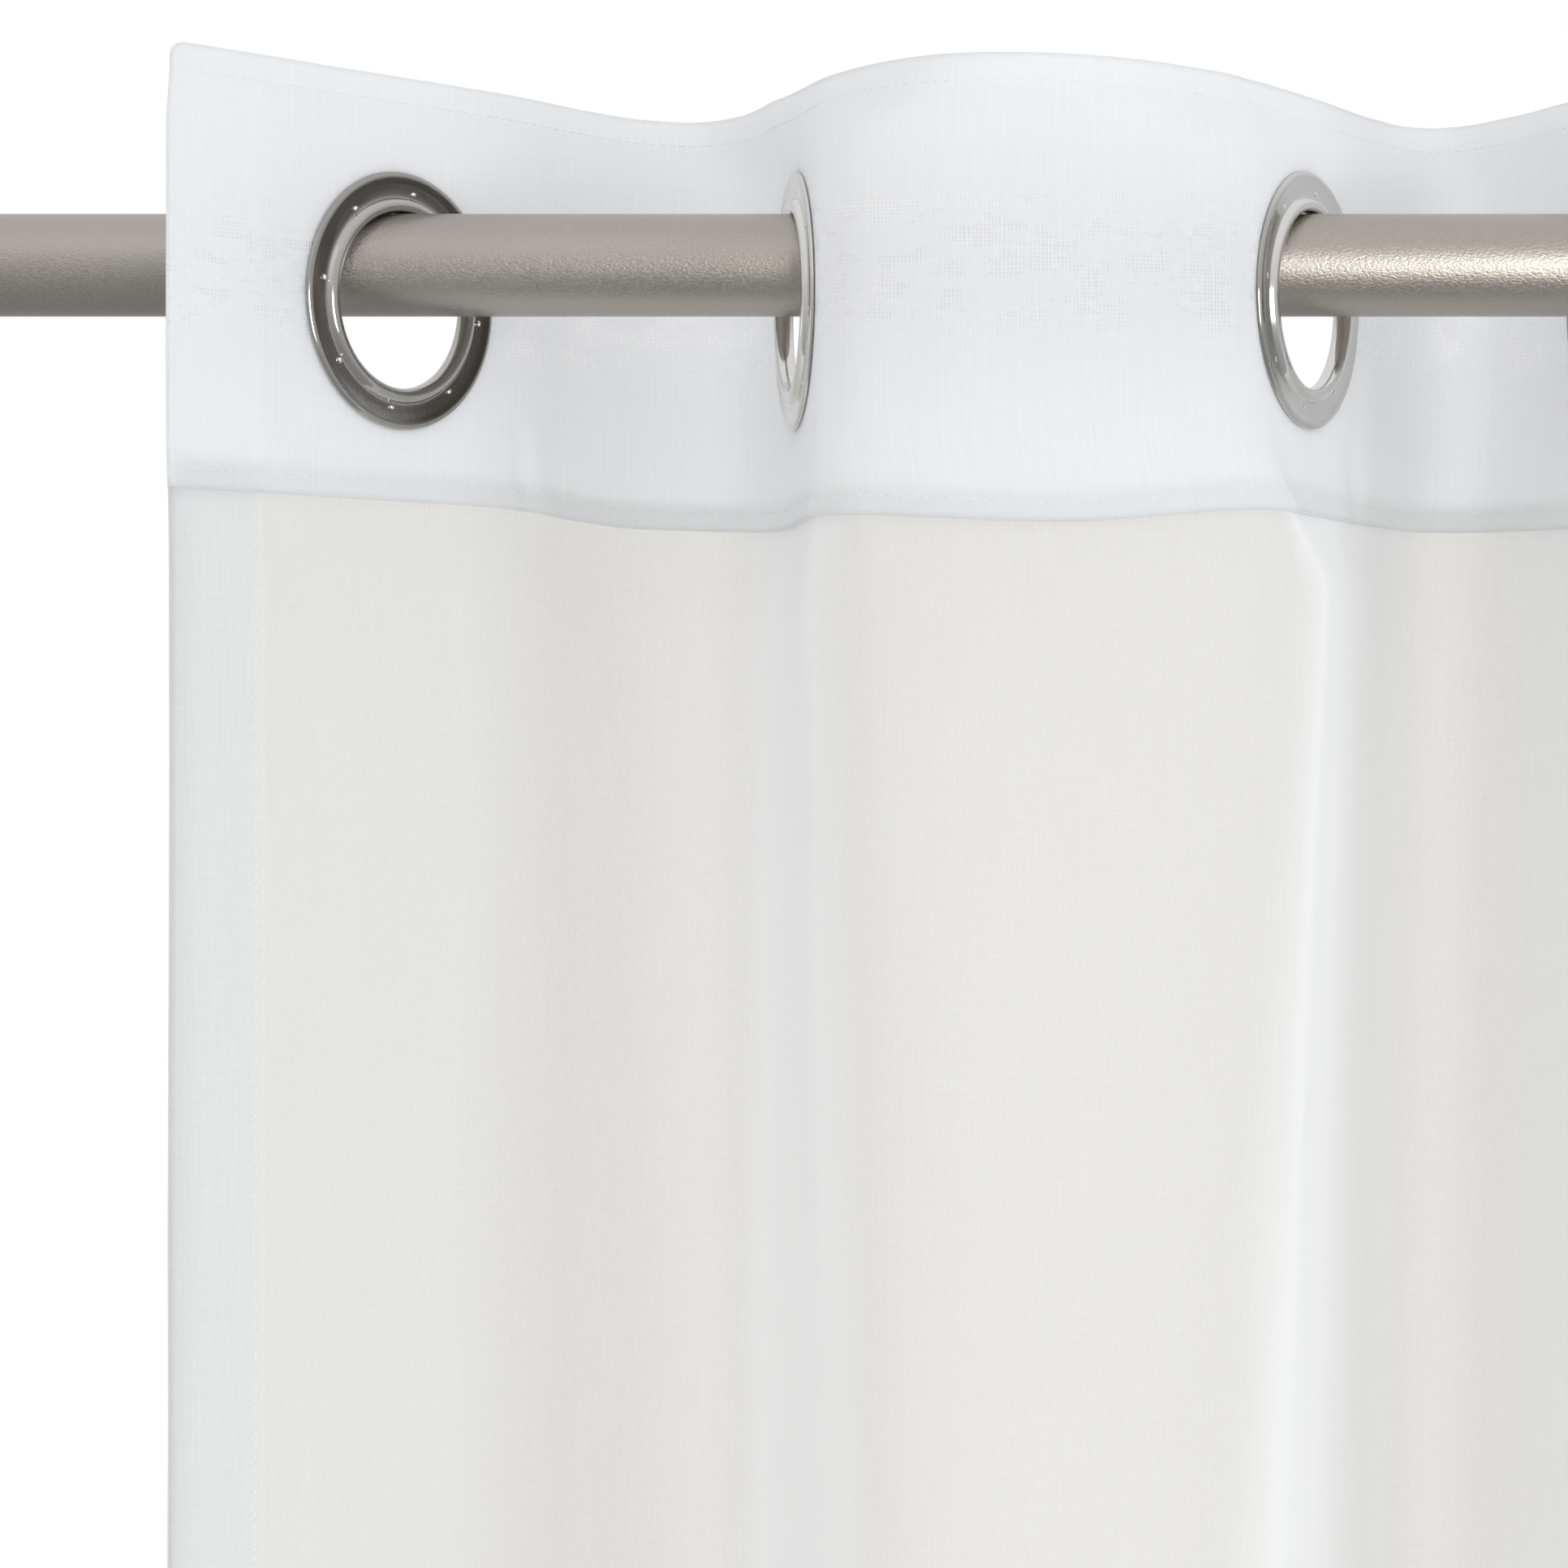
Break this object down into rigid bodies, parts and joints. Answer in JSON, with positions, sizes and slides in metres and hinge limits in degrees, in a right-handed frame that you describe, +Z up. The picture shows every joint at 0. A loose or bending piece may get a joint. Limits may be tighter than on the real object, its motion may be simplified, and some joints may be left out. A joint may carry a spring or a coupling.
{
  "type": "eyelet curtain on a rod",
  "caption": "Sheer linen-look curtain hanging in soft S-folds from a round rod, which passes through metal eyelets in a doubled heading strip.",
  "frame": {"origin": "centre of the rod's left end face, as seen from the room", "axes": "+X along the rod to the right, +Y away from the room towards the window, +Z up"},
  "size_m": [1.2, 0.1462, 2.4534],
  "materials": {
    "rod_metal": "satin warm grey metal with a fine grain",
    "heading_cloth": "doubled white plain weave, nearly opaque",
    "panel_cloth": "single layer of sheer off-white linen-look weave",
    "eyelet_metal": "polished nickel"
  },
  "bodies": {
    "root": {"rod": "rod_metal", "heading": "heading_cloth", "panel": "panel_cloth", "eyelet_1_front": "eyelet_metal", "eyelet_1_back": "eyelet_metal", "eyelet_2_front": "eyelet_metal", "eyelet_2_back": "eyelet_metal", "eyelet_3_front": "eyelet_metal", "eyelet_3_back": "eyelet_metal", "eyelet_4_front": "eyelet_metal", "eyelet_4_back": "eyelet_metal", "eyelet_5_front": "eyelet_metal", "eyelet_5_back": "eyelet_metal", "eyelet_6_front": "eyelet_metal", "eyelet_6_back": "eyelet_metal", "eyelet_7_front": "eyelet_metal", "eyelet_7_back": "eyelet_metal", "eyelet_8_front": "eyelet_metal", "eyelet_8_back": "eyelet_metal"}
  },
  "joints": []
}
